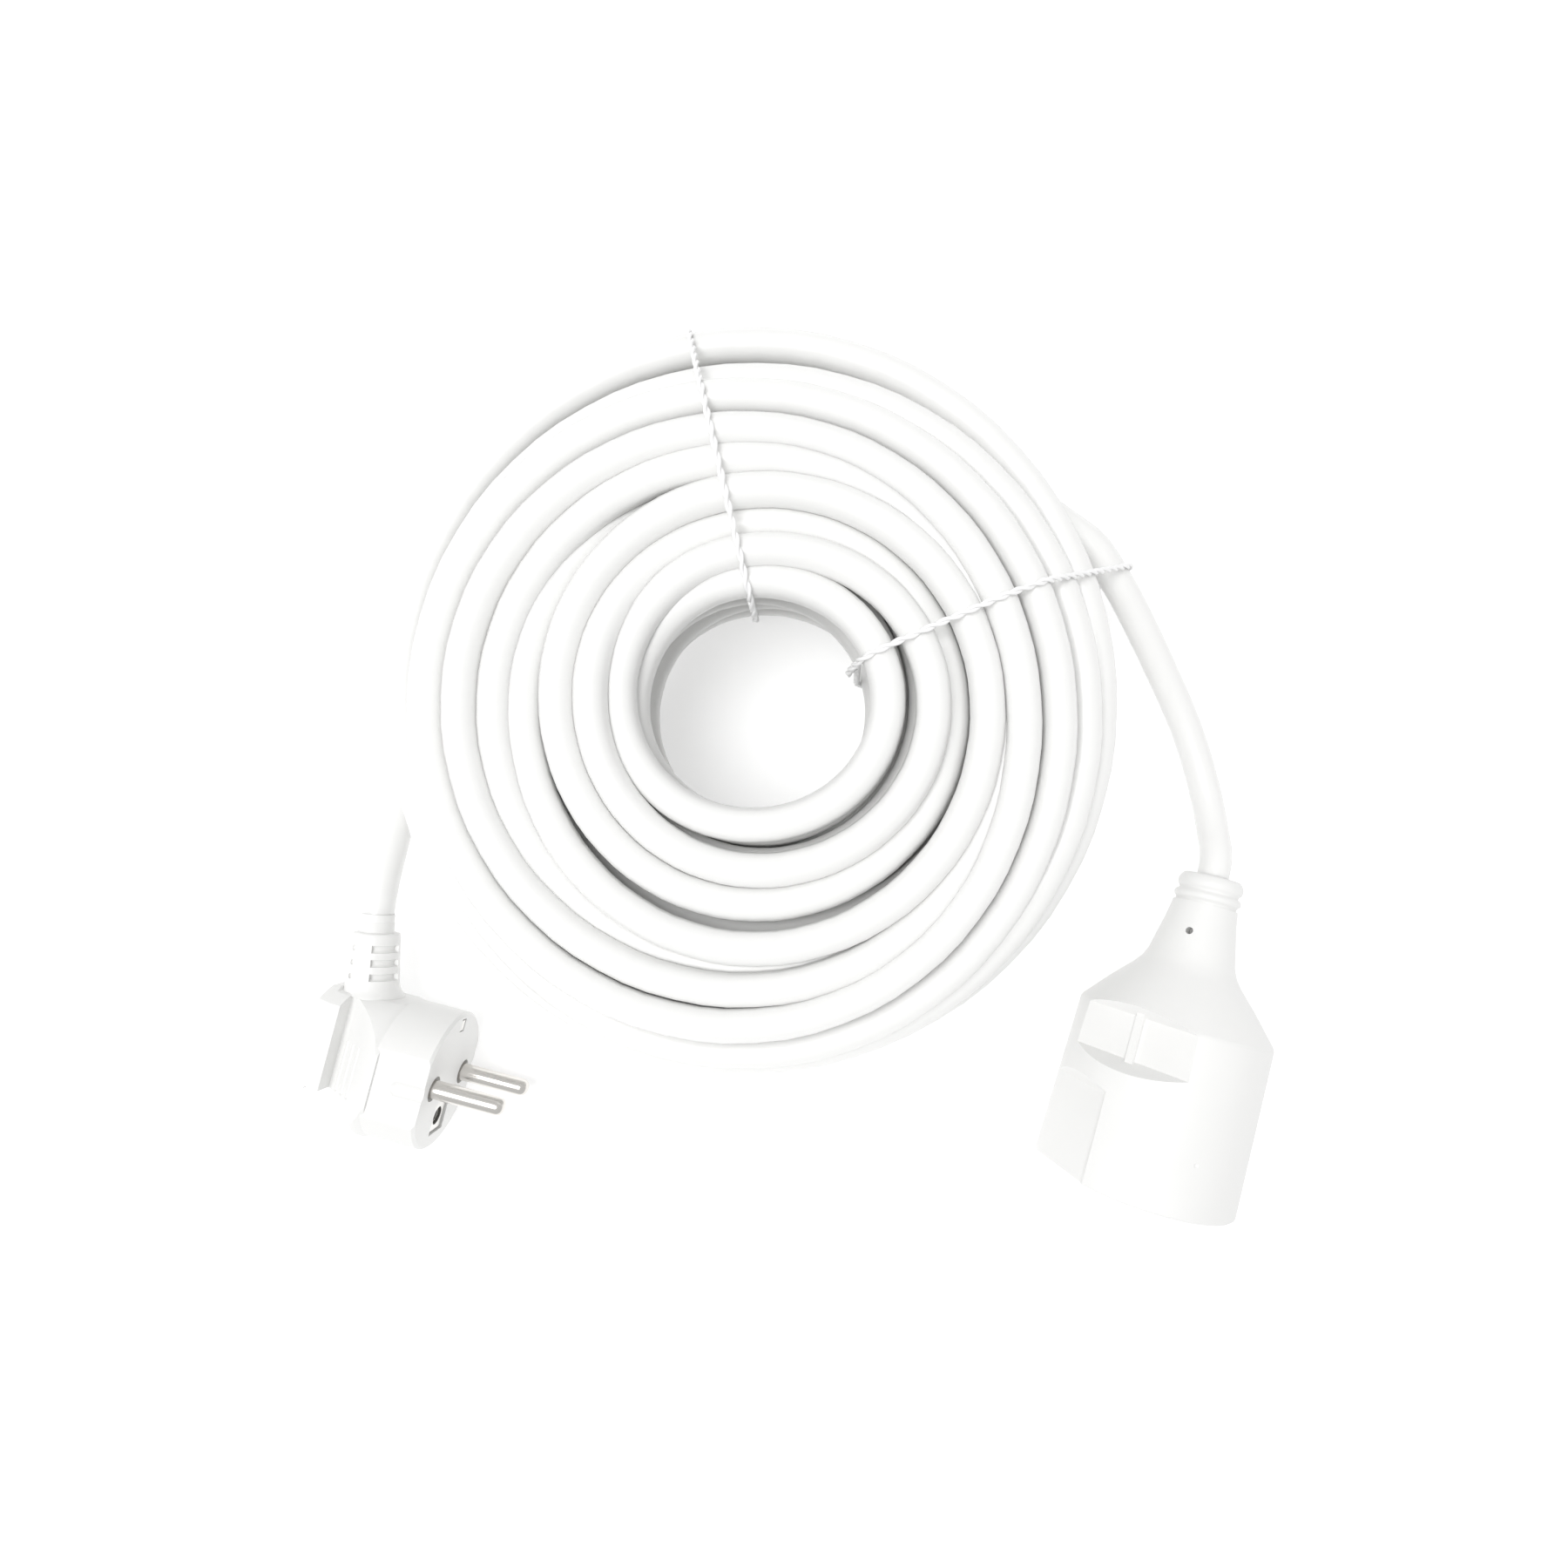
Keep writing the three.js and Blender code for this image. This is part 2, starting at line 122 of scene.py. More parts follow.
def add_camera():
    data = bpy.data.cameras.new("camera")
    data.sensor_width = 36
    data.lens = 21
    data.shift_x = -0.02
    data.shift_y = 0.0417
    data.clip_start = 0.01
    camera = bpy.data.objects.new("camera", data)
    camera.location = metres(*CAMERA_FOOT, CAMERA_HEIGHT)
    camera.rotation_euler = (0, 0, CAMERA_TURN)
    bpy.context.scene.collection.objects.link(camera)
    bpy.context.scene.camera = camera


# Finishes


def finish_of(slot, colour, roughness, grain, grain_height, mottle=0.03, metallic=0.0, coat=0.0, patch=0.02,
              glow_depth=0.0):
    """A finish whose grain, change of tone and patchy gloss come from noise in the piece's own space.
    grain and patch are sizes, and glow_depth is how deep light sinks in, all in metres."""
    material = bpy.data.materials.new(slot)
    material.use_nodes = True
    nodes = material.node_tree.nodes
    links = material.node_tree.links
    shader = nodes["Principled BSDF"]
    shader.inputs["Metallic"].default_value = metallic
    shader.inputs["Coat Weight"].default_value = coat
    shader.inputs["Coat Roughness"].default_value = 0.2
    if glow_depth:
        shader.inputs["Subsurface Weight"].default_value = 0.4
        shader.inputs["Subsurface Radius"].default_value = (1, 1, 1)
        shader.inputs["Subsurface Scale"].default_value = glow_depth
    places = nodes.new("ShaderNodeTexCoord")
    patches = nodes.new("ShaderNodeTexNoise")
    patches.inputs["Scale"].default_value = 1 / patch
    patches.inputs["Detail"].default_value = 4
    links.new(places.outputs["Object"], patches.inputs["Vector"])
    tone = nodes.new("ShaderNodeMix")
    tone.data_type = "RGBA"
    tone.inputs["A"].default_value = (*[channel * (1 - mottle) for channel in colour], 1)
    tone.inputs["B"].default_value = (*[min(1, channel * (1 + mottle * 0.6)) for channel in colour], 1)
    links.new(patches.outputs["Fac"], tone.inputs["Factor"])
    links.new(tone.outputs["Result"], shader.inputs["Base Color"])
    gloss = nodes.new("ShaderNodeMapRange")
    gloss.inputs["To Min"].default_value = roughness * 0.8
    gloss.inputs["To Max"].default_value = min(1, roughness * 1.2)
    links.new(patches.outputs["Fac"], gloss.inputs["Value"])
    links.new(gloss.outputs["Result"], shader.inputs["Roughness"])
    speckle = nodes.new("ShaderNodeTexNoise")
    speckle.inputs["Scale"].default_value = 1 / grain
    speckle.inputs["Detail"].default_value = 3
    links.new(places.outputs["Object"], speckle.inputs["Vector"])
    relief = nodes.new("ShaderNodeBump")
    relief.inputs["Strength"].default_value = 1
    relief.inputs["Distance"].default_value = grain_height
    links.new(speckle.outputs["Fac"], relief.inputs["Height"])
    links.new(relief.outputs["Normal"], shader.inputs["Normal"])
    return material


FINISHES = {
    "cord_pvc": finish_of("cord_pvc", (0.86, 0.86, 0.85), 0.34, 0.004, 0.00006, mottle=0.02, coat=0.15,
                          patch=0.03, glow_depth=0.002),
    "body_pvc": finish_of("body_pvc", (0.84, 0.84, 0.83), 0.45, 0.0006, 0.000015, mottle=0.02, patch=0.012),
    "hard_plastic": finish_of("hard_plastic", (0.78, 0.77, 0.74), 0.38, 0.0008, 0.00001, mottle=0.02),
    "shutter_plastic": finish_of("shutter_plastic", (0.72, 0.71, 0.68), 0.42, 0.0008, 0.00001),
    "pin_nickel": finish_of("pin_nickel", (0.74, 0.72, 0.69), 0.22, 0.0012, 0.000008, mottle=0.06,
                            metallic=1),
    "earth_nickel": finish_of("earth_nickel", (0.76, 0.75, 0.73), 0.28, 0.001, 0.00001, mottle=0.06,
                              metallic=1),
    "brass": finish_of("brass", (0.72, 0.53, 0.24), 0.32, 0.001, 0.00001, mottle=0.1, metallic=1),
    "spring_steel": finish_of("spring_steel", (0.62, 0.63, 0.65), 0.3, 0.0006, 0.000006, mottle=0.08,
                              metallic=1),
    "tie_plastic": finish_of("tie_plastic", (0.93, 0.93, 0.93), 0.3, 0.0008, 0.00001, mottle=0.02, coat=0.2),
    "core_brown": finish_of("core_brown", (0.14, 0.055, 0.025), 0.4, 0.001, 0.00001, mottle=0.12),
    "core_blue": finish_of("core_blue", (0.03, 0.12, 0.4), 0.4, 0.001, 0.00001, mottle=0.12),
}


def striped_core():
    """Green insulation with a yellow stripe along each side."""
    material = finish_of("core_green_yellow", (0.12, 0.36, 0.05), 0.4, 0.001, 0.00001, mottle=0.1)
    nodes = material.node_tree.nodes
    links = material.node_tree.links
    places = nodes.new("ShaderNodeTexCoord")
    bands = nodes.new("ShaderNodeTexWave")
    bands.bands_direction = "DIAGONAL"
    bands.inputs["Scale"].default_value = 180
    bands.inputs["Distortion"].default_value = 0.4
    links.new(places.outputs["Object"], bands.inputs["Vector"])
    edge = nodes.new("ShaderNodeMapRange")
    edge.inputs["From Min"].default_value = 0.48
    edge.inputs["From Max"].default_value = 0.52
    links.new(bands.outputs["Fac"], edge.inputs["Value"])
    stripes = nodes.new("ShaderNodeMix")
    stripes.data_type = "RGBA"
    stripes.inputs["A"].default_value = (0.12, 0.36, 0.05, 1)
    stripes.inputs["B"].default_value = (0.72, 0.6, 0.04, 1)
    links.new(edge.outputs["Result"], stripes.inputs["Factor"])
    links.new(stripes.outputs["Result"], nodes["Principled BSDF"].inputs["Base Color"])
    return material


FINISHES["core_green_yellow"] = striped_core()

# Cord: its run from the plug to the foot of the coil, its turns, and its run to the socket's neck

PLUG_RUN = [
    (-87.03, -76.1, 16.9), (-88.3, -68.5, 15.8), (-89.8, -60, 13), (-91.5, -50, 9.4), (-93.2, -39, 6.3),
    (-94.2, -27, 4.5), (-94, -15, 4), (-92, -3, 3.95), (-88.5, 9, 3.95), (-83.5, 20, 3.95),
]
SOCKET_RUN = [
    (57, 68, 34), (66.8, 63.6, 33.4), (76.5, 57.2, 31.2), (87, 48.7, 27), (98, 39, 22), (109, 27.5, 18.3),
    (117, 15, 17.8), (121.2, 3.5, 21), (122.4, -4.3, 25), (122.4, -9.6, 26),
]
STEPS_PER_QUARTER = 6
LAYER_RISE = 7.85      # from one layer of turns to the next
LAYER_PITCH = 7.9      # between neighbouring turns of a buried layer

# The buried layers from the bottom up, each as (radius where it starts, radius where it ends)
BURIED_LAYERS = [(85.9, 38), (34.8, 85.5), (85.5, 31.8), (30.4, 85.5), (78, 29.5), (29, 76), (67, 28.5)]

# The turns that show, from the hole outward, as listed: (radius, height) at the top of the view, and at
# every quarter turn clockwise from there. They are not kept clear of each other, and in places they overlap.
SHOWN_TURNS = [
    [(26.5, 59.5), (29.2, 61.7), (27.9, 61.7), (30.3, 57.8)],
    [(32.2, 61.7), (39.2, 62.2), (37.8, 61.7), (36.0, 61.5)],
    [(39.2, 58.0), (44.3, 55.6), (45.3, 60.0), (43.3, 61.7)],
    [(45.6, 61.5), (51.0, 61.7), (55.0, 61.7), (51.0, 59.5)],
    [(51.5, 54.5), (55.5, 53.5), (60.0, 55.0), (57.2, 60.5)],
    [(52.4, 61.0), (56.0, 58.0), (64.2, 60.0), (64.8, 61.0)],
    [(58.5, 61.7), (58.8, 62.0), (72.0, 60.5), (72.5, 58.5)],
    [(67.2, 59.0), (67.4, 59.0), (79.4, 53.0), (77.0, 50.5)],
    [(75.0, 50.5), (75.6, 51.0), (82.0, 47.0), (83.7, 45.5)],
    [(86.0, 45.5), (81.4, 43.5), (82.6, 41.0), (85.6, 39.5)],
    [(89.5, 38.5)],
]
FIRST_HEADING = -165   # heading of the coil's first quarter, which the plug's lead runs into, in degrees


def quarter_knots():
    """(radius, height) of the cord's centre at every quarter turn, from the foot of the coil to its end."""
    knots = []
    for layer, (first, last) in enumerate(BURIED_LAYERS):
        height = CORD_RADIUS + 0.05 + LAYER_RISE * layer
        quarters = round(4 * abs(last - first) / LAYER_PITCH)
        knots += [(first + (last - first) * step / quarters, height) for step in range(quarters + 1)]
    # the shown turns start at the top of the view, one quarter after the coil's first knot
    while len(knots) % 4 != 1:
        knots.append((knots[-1][0], knots[-1][1] + 1))
    return knots + [knot for turn in SHOWN_TURNS for knot in turn]


def between(before, start, end, after, share):
    """A smooth value between start and end that leaves towards their neighbours' slopes."""
    square = share * share
    cube = square * share
    return 0.5 * (2 * start + (end - before) * share + (2 * before - 5 * start + 4 * end - after) * square
                  + (3 * start - before - 3 * end + after) * cube)


def coil_points():
    knots = quarter_knots()
    points = []
    for index in range(len(knots) - 1):
        near = [knots[max(0, min(len(knots) - 1, index + offset))] for offset in (-1, 0, 1, 2)]
        for step in range(STEPS_PER_QUARTER):
            share = step / STEPS_PER_QUARTER
            radius = between(*[knot[0] for knot in near], share)
            height = near[1][1] + (near[2][1] - near[1][1]) * share * share * (3 - 2 * share)
            angle = math.radians(FIRST_HEADING - 90 * (index + share))
            points.append((radius * math.cos(angle), radius * math.sin(angle), height))
    return points


def cord_path():
    skipped = STEPS_PER_QUARTER // 2
    return [metres(*point) for point in PLUG_RUN + coil_points()[skipped:] + SOCKET_RUN[1:]]


def add_cord(path):
    curve = bpy.data.curves.new("cord", "CURVE")
    curve.dimensions = "3D"
    curve.resolution_u = 3
    curve.bevel_depth = 1    # scaled by each point's own radius
    curve.bevel_resolution = 5
    curve.use_fill_caps = True
    spline = curve.splines.new("BEZIER")
    spline.bezier_points.add(len(path) - 1)
    for point, place in zip(spline.bezier_points, path):
        point.co = place
        point.radius = CORD_RADIUS * MM
        point.handle_left_type = "AUTO"
        point.handle_right_type = "AUTO"
    cord = bpy.data.objects.new("cord", curve)
    bpy.context.scene.collection.objects.link(cord)
    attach(cord, "root")
    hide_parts("cord_coil", "cord_plug_lead", "cord_socket_lead")
    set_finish(cord, "cord_pvc")
    curve.materials.append(FINISHES["cord_pvc"])
    return cord


add_camera()
path = cord_path()
cord = add_cord(path)

# Making pieces: forms are drawn in millimetres about a piece's own origin, then placed in the frame


def finished(form, name, origin, node_names, slot, body="root", soften=0, crisp=35):
    """Make a form a piece that rides on a body and stands for CAD nodes. soften is its edges' rounding."""
    bmesh.ops.remove_doubles(form, verts=form.verts, dist=0.0005)
    bmesh.ops.scale(form, vec=(MM, MM, MM), verts=form.verts)
    bmesh.ops.translate(form, vec=origin, verts=form.verts)
    mesh = bpy.data.meshes.new(name)
    form.to_mesh(mesh)
    form.free()
    mesh.shade_smooth()
    mesh.set_sharp_from_angle(angle=math.radians(crisp))
    piece = bpy.data.objects.new(name, mesh)
    bpy.context.scene.collection.objects.link(piece)
    if soften:
        rounding = piece.modifiers.new("rounded edges", "BEVEL")
        rounding.width = soften * MM
        rounding.segments = 3
        rounding.limit_method = "ANGLE"
        rounding.angle_limit = math.radians(28)
        rounding.use_clamp_overlap = True
        normals = piece.modifiers.new("even normals", "WEIGHTED_NORMAL")
        normals.keep_sharp = True
    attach(piece, body)
    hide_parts(*node_names)
    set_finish(piece, slot)
    return piece


def wires(name, runs, radius, node, slot):
    """Round wires along lines of evenly weighted points in metres, made into one mesh piece."""
    curve = bpy.data.curves.new(name, "CURVE")
    curve.dimensions = "3D"
    curve.bevel_depth = radius * MM
    curve.bevel_resolution = 2
    curve.use_fill_caps = True
    for run in runs:
        spline = curve.splines.new("POLY")
        spline.points.add(len(run) - 1)
        for point, place in zip(spline.points, run):
            point.co = (*place, 1)
    holder = bpy.data.objects.new(name, curve)
    bpy.context.scene.collection.objects.link(holder)
    depsgraph = bpy.context.evaluated_depsgraph_get()
    mesh = bpy.data.meshes.new_from_object(holder.evaluated_get(depsgraph))
    bpy.data.objects.remove(holder)
    bpy.data.curves.remove(curve)
    mesh.name = name
    mesh.shade_smooth()
    piece = bpy.data.objects.new(name, mesh)
    bpy.context.scene.collection.objects.link(piece)
    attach(piece, "root")
    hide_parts(node)
    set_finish(piece, slot)


def turned(corners, axis="Y", steps=96):
    """A solid turned about an axis from its profile's corners, as (radius, station)."""
    form = bmesh.new()
    verts = [form.verts.new((radius, station, 0)) for radius, station in corners]
    edges = [form.edges.new(pair) for pair in zip(verts, verts[1:])]
    bored = corners[0][0] > 0
    if bored:
        edges.append(form.edges.new((verts[-1], verts[0])))
    bmesh.ops.spin(form, geom=form.verts[:] + form.edges[:], cent=(0, 0, 0), axis=(0, 1, 0),
                   angle=math.tau, steps=steps, use_merge=True)
    bmesh.ops.remove_doubles(form, verts=form.verts, dist=0.001)
    bmesh.ops.recalc_face_normals(form, faces=form.faces)
    if axis == "X":
        bmesh.ops.rotate(form, matrix=Matrix.Rotation(-math.pi / 2, 3, "Z"), verts=form.verts)
    return form


def rod(radius, start, end, axis="Y", steps=48):
    return turned([(0, start), (radius, start), (radius, end), (0, end)], axis, steps)


def block(low, high):
    form = bmesh.new()
    bmesh.ops.create_cube(form, size=1)
    size = Vector(high) - Vector(low)
    bmesh.ops.scale(form, vec=size, verts=form.verts)
    bmesh.ops.translate(form, vec=Vector(low) + size / 2, verts=form.verts)
    return form


def plate(outline, low, high, across="Z"):
    """A flat outline drawn in the two other axes and drawn out along the third."""
    form = bmesh.new()
    placements = {
        "Z": lambda u, v: (u, v, low),
        "Y": lambda u, v: (u, low, v),
        "X": lambda u, v: (low, u, v),
    }
    placed = placements[across]
    face = form.faces.new([form.verts.new(placed(u, v)) for u, v in outline])
    drawn = bmesh.ops.extrude_face_region(form, geom=[face])
    direction = {"Z": (0, 0, 1), "Y": (0, 1, 0), "X": (1, 0, 0)}[across]
    moved = [item for item in drawn["geom"] if isinstance(item, bmesh.types.BMVert)]
    bmesh.ops.translate(form, vec=Vector(direction) * (high - low), verts=moved)
    bmesh.ops.recalc_face_normals(form, faces=form.faces)
    return form


def ball(radius, place):
    form = bmesh.new()
    bmesh.ops.create_uvsphere(form, u_segments=24, v_segments=16, radius=radius)
    bmesh.ops.translate(form, vec=place, verts=form.verts)
    return form


def shifted(form, *offset):
    bmesh.ops.translate(form, vec=offset, verts=form.verts)
    return form


def swung(form, degrees, axis):
    bmesh.ops.rotate(form, matrix=Matrix.Rotation(math.radians(degrees), 3, axis), verts=form.verts)
    return form


def worked(form, tools, operation):
    """The form joined with, cut by or kept within each of the tools."""
    def loose(part):
        mesh = bpy.data.meshes.new("loose")
        part.to_mesh(mesh)
        part.free()
        holder = bpy.data.objects.new("loose", mesh)
        bpy.context.scene.collection.objects.link(holder)
        return holder

    base = loose(form)
    helpers = [loose(tool) for tool in tools]
    for helper in helpers:
        step = base.modifiers.new("step", "BOOLEAN")
        step.operation = operation
        step.solver = "EXACT"
        step.object = helper
    result = bmesh.new()
    result.from_object(base, bpy.context.evaluated_depsgraph_get())
    for spent in [base] + helpers:
        mesh = spent.data
        bpy.data.objects.remove(spent)
        bpy.data.meshes.remove(mesh)
    bmesh.ops.remove_doubles(result, verts=result.verts, dist=0.002)
    bmesh.ops.dissolve_degenerate(result, dist=0.002, edges=result.edges)
    return result


def cut(form, *tools):
    return worked(form, tools, "DIFFERENCE")


def joined(form, *others):
    return worked(form, others, "UNION")


def kept_within(form, *others):
    return worked(form, others, "INTERSECT")


# Plug. Its face is at x = 0 and looks along +X, its pin line is Z, and the cord leaves it towards +Y and
# leaning back.

SIDES = (1, -1)


def plug_drum():
    profile = [(0, -DRUM_DEPTH - 1), (DRUM_RADIUS, -DRUM_DEPTH - 1), (DRUM_RADIUS, -0.7),
               (DRUM_RADIUS - 0.7, 0), (0, 0)]
    drum = turned(profile, "X", 128)
    flats = block((-DRUM_DEPTH - 2, -20, -DRUM_FLAT), (1, 20, DRUM_FLAT))
    return kept_within(drum, flats)


NOTCH_AXIS_OUT = 2.55     # from the drum's flat to the axis of its guide notch
HOLLOW_FRONT = -14        # where the finger hollow starts
HOLLOW_LENGTH = 13.5
HOLLOW_REAR_HALF = 6.8    # half the grip's thickness where the hollow ends
HOLLOW_BEND = 1.15        # 1 would be a straight slope


def hollow_height(x):
    """Half the grip's thickness at a place along the finger hollow."""
    share = (HOLLOW_FRONT - x) / HOLLOW_LENGTH
    return HOLLOW_REAR_HALF + (GRIP_HALF - HOLLOW_REAR_HALF) * (1 - share) ** HOLLOW_BEND


def plug_grip():
    """The rear grip: thicker than the drum at its front, falling away to a thin flange at its rear."""
    profile = [(0, -PLUG_DEPTH), (18.9, -PLUG_DEPTH), (18.9, -15.4), (DRUM_RADIUS - 0.4, -13.2), (0, -13.2)]
    round_grip = turned(profile, "X", 128)
    hollow = [(HOLLOW_FRONT, GRIP_HALF), (-13.1, GRIP_HALF), (-11.6, 15.4)]
    steps = 14
    for step in range(1, steps + 1):
        x = HOLLOW_FRONT - HOLLOW_LENGTH * step / steps
        hollow.insert(0, (x, hollow_height(x)))
    rear = [(-PLUG_DEPTH - 1, 10.8), (-30.4, 11.5), (-28, 11.5), (-27.7, 7.2)]
    upper = rear + hollow
    lower = [(x, -z) for x, z in reversed(upper)]
    slab = plate(upper + lower, -20, 20, "Y")
    outline = [(-11, -19), (-11, 18.2), (-31.5, 17.4), (-32, 18.2), (-PLUG_DEPTH, 18.2), (-PLUG_DEPTH, -8),
               (-32, -8), (-31.5, -7), (-19, -9), (-17, -11), (-17, -19)]
    side_view = plate(outline, -20, 20, "Z")
    return kept_within(round_grip, slab, side_view)


def plug_grooves():
    """Three fine grip grooves across each finger hollow."""
    grooves = []
    for side in SIDES:
        for x in (-20.6, -22.9, -25.2):
            z = hollow_height(x)
            groove = turned([(0, -7.8), (0.55, -7.4), (0.55, 5.8), (0, 6.2)], "Y", 16)
            grooves.append(shifted(groove, x, 0, side * (z + 0.1)))
    return grooves


def add_plug_body():
    """The drum and the grip in one, hollowed for what it holds, with a guide notch on each side."""
    rooms = [
        rod(INSERT_RADIUS + GAP, -11.3, -2, "X", 96),
        block((-17, -5.5, -11.5), (-11, 9, 11.5)),
        shifted(rod(CORD_BORE, 8, 20), RELIEF_AT, 0, 0),
        block((-14.6, -16.9, -2.3), (-1.5, 16.9, 2.3)),
        block((-3, 13.4, -1.3), (1, 16.9, 1.3)),
        block((-3, -14.4, -4.2), (1, -5.6, 4.2)),
    ]
    for side in SIDES:
        rooms.append(shifted(rod(3.3, -3, 1, "X"), 0, 0, side * PIN_SPACING / 2))
        notch = turned([(0, -9.6), (2.4, -9), (3.2, -7.4), (3.2, 1), (0, 1)], "X", 64)
        rooms.append(shifted(notch, 0, 0, side * (DRUM_FLAT + NOTCH_AXIS_OUT)))
    body = cut(joined(plug_drum(), plug_grip()), *rooms, *plug_grooves())
    finished(body, "plug_shell", PLUG, ["plug_body"], "body_pvc", soften=0.3)


def add_plug_relief():
    """The leaning strain relief, with three grooves, two rows of dimples and a thin sleeve over the cord."""
    top = RELIEF_LENGTH - SLEEVE_LENGTH
    sleeve_radius = SNUG + 0.15
    profile = [(CORD_BORE, -3), (8.2, -3), (8.2, -0.6), (7.4, 0.3), (6.9, 1.4), (6.6, 3), (6.2, 9),
               (5.85, top - 0.5), (5.7, top - 0.15), (5.3, top), (sleeve_radius, top),
               (sleeve_radius, RELIEF_LENGTH + LIP),
               (SNUG, RELIEF_LENGTH + LIP), (SNUG, RELIEF_LENGTH - 0.8), (CORD_BORE, RELIEF_LENGTH - 1.2)]
    sleeve = turned(profile, "Y", 96)
    tools = []
    for station in (4.6, 8.3, 12.0):
        surface = 6.4 - 0.035 * station
        ring = bmesh.new()
        start = Matrix.Translation((0, station, surface)) @ Matrix.Rotation(math.pi / 2, 4, "Y")
        bmesh.ops.create_circle(ring, cap_ends=True, segments=20, radius=1.0, matrix=start)
        bmesh.ops.spin(ring, geom=ring.verts[:] + ring.edges[:] + ring.faces[:], cent=(0, 0, 0),
                       axis=(0, 1, 0), angle=math.radians(76), steps=20)
        bmesh.ops.recalc_face_normals(ring, faces=ring.faces)
        tools.append(swung(ring, 16, "Y"))
        for angle in (-34, 146):
            turn = math.radians(angle)
            tools.append(ball(0.75, (surface * math.sin(turn), station, surface * math.cos(turn))))
    sleeve = cut(sleeve, *tools)
    bmesh.ops.rotate(sleeve, matrix=Matrix.Rotation(RELIEF_LEAN, 3, "Z"), verts=sleeve.verts)
    shifted(sleeve, RELIEF_AT, GRIP_TOP, 0)
    below = block((RELIEF_AT - 12, GRIP_TOP - 8, -12), (RELIEF_AT + 12, GRIP_TOP - 0.5, 12))
    finished(cut(sleeve, below), "plug_relief", PLUG, ["plug_strain_relief"], "body_pvc", crisp=50)


def add_plug_pins():
    profile = [(0, -14), (1.7, -14), (1.7, -11.6), (PIN_RADIUS, -11.6), (PIN_RADIUS, PIN_LENGTH - PIN_TIP)]
    tip_steps = 8
    for step in range(1, tip_steps + 1):
        angle = math.pi / 2 * step / tip_steps
        profile.append((PIN_RADIUS * math.cos(angle) ** 0.7 if step < tip_steps else 0,
                        PIN_LENGTH - PIN_TIP + PIN_TIP * math.sin(angle)))
    for wire, side in (("line", 1), ("neutral", -1)):
        pin = shifted(turned(profile, "X", 48), 0, 0, side * PIN_SPACING / 2)
        finished(pin, f"round_pin_{wire}", PLUG, [f"plug_{wire}_pin"], "pin_nickel", crisp=50)


def add_plug_earth_sleeve():
    sleeve = joined(block((-1.4, -3.9, -3.8), (-0.5, 3.9, 3.8)), rod(3.2, -11, -1.5, "X", 64))
    sleeve = cut(sleeve, rod(2.4, -10, 0, "X", 64))
    finished(shifted(sleeve, 0, -EARTH_OFFSET, 0), "earth_sleeve", PLUG, ["plug_earth_sleeve"],
             "earth_nickel", soften=0.12)


def add_plug_earth_strip():
    """The strip behind the bridge, with a bowed contact at each edge and a tab in the face's slot."""
    strip = block((-14.3, -16.6, -2), (-13.3, 16.6, 2))
    tabs = []
    for side in SIDES:
        bowed = [(-13.8, 15.6), (-1.9, 15.6), (-1.9, 16.4), (-3.4, 17.2), (-6.8, 17.9), (-10.2, 17.2),
                 (-11.6, 16.6), (-13.8, 16.6)]
        tabs.append(plate([(x, side * y) for x, y in bowed], -1.9, 1.9, "Z"))
    tabs.append(block((-3.2, 13.7, -1.1), (-0.1, 16.5, 1.1)))
    finished(joined(strip, *tabs), "earth_strip", PLUG, ["plug_earth_strip"], "earth_nickel", soften=0.15)


def add_plug_cores():
    """The line and neutral cores from the pins' crimps to the cord's end, kept under the grip's slope."""
    for wire, side, slot in (("line", 1, "core_brown"), ("neutral", -1, "core_blue")):
        height = side * PIN_SPACING / 2
        corners = [(-19.9, 0, height), (-21, 0, height * 0.95), (-22.3, 1, height * 0.7),
                   (-24, 3.4, height * 0.42), (-26, 6, side * 2), (-27, 8.8, side * 1.7)]
        run = []
        for index in range(len(corners) - 1):
            near = [corners[max(0, min(len(corners) - 1, index + offset))] for offset in (-1, 0, 1, 2)]
            for step in range(6):
                place = [between(*[corner[axis] for corner in near], step / 6) for axis in range(3)]
                run.append(metres(*place, PLUG))
        run.append(metres(*corners[-1], PLUG))
        wires(f"bent_core_{wire}", [run], 1.3, f"plug_{wire}_core", slot)


add_plug_body()
add_plug_cores()
add_plug_relief()
add_plug_earth_strip()
add_plug_pins()
add_plug_earth_sleeve()

# Socket. Its rim is at y = 0 and looks along -Y, its pin line is X and the cord leaves along +Y.

RIM_RADIUS = 25
SHOULDER_RADIUS = 23.7
BODY_LENGTH = 43
NECK_END = 73.5
SOCKET_LENGTH = 80
RECESS_RADIUS = 19.5
RECESS_DEPTH = 17.5
LINER_RADIUS = 20.3
FLOOR_BACK = 21
GRIP_FACING = 45       # degrees that the hand grip's pocket is turned from straight up
PANEL_FACING = 72      # the same for the side panel's pocket
NECK_HOLES_FACING = (36, 124)    # and for the two holes in the neck
NECK_HOLES_AT = 66


def hand_grip_pocket():
    """The tool that cuts the pocket: a leaning front wall, a flat floor with a rib and a sloping back."""
    half_width = 18
    floor = 19.2
    section = [(31.6, floor), (42.5, floor), (48.5, 26), (48.5, 36), (24.6, 36), (28.4, 25)]
    pocket = plate(section, -half_width, half_width, "X")
    rib = block((-1.0, 26, floor - 2), (1.0, 43.5, floor + 1.1))
    return cut(pocket, rib)


def side_panel_pocket():
    """The tool that cuts the side panel: a flat floor with sloping walls at its back and its upper side."""
    floor = 21.4
    across = plate([(-18, floor), (7.6, floor), (11.6, floor + 2), (11.6, 40), (-18, 40)], -1, 28, "Y")
    along = plate([(-2, floor), (22.4, floor), (25.6, floor + 3.6), (25.6, 41), (-2, 41)], -20, 20, "X")
    return kept_within(across, along)


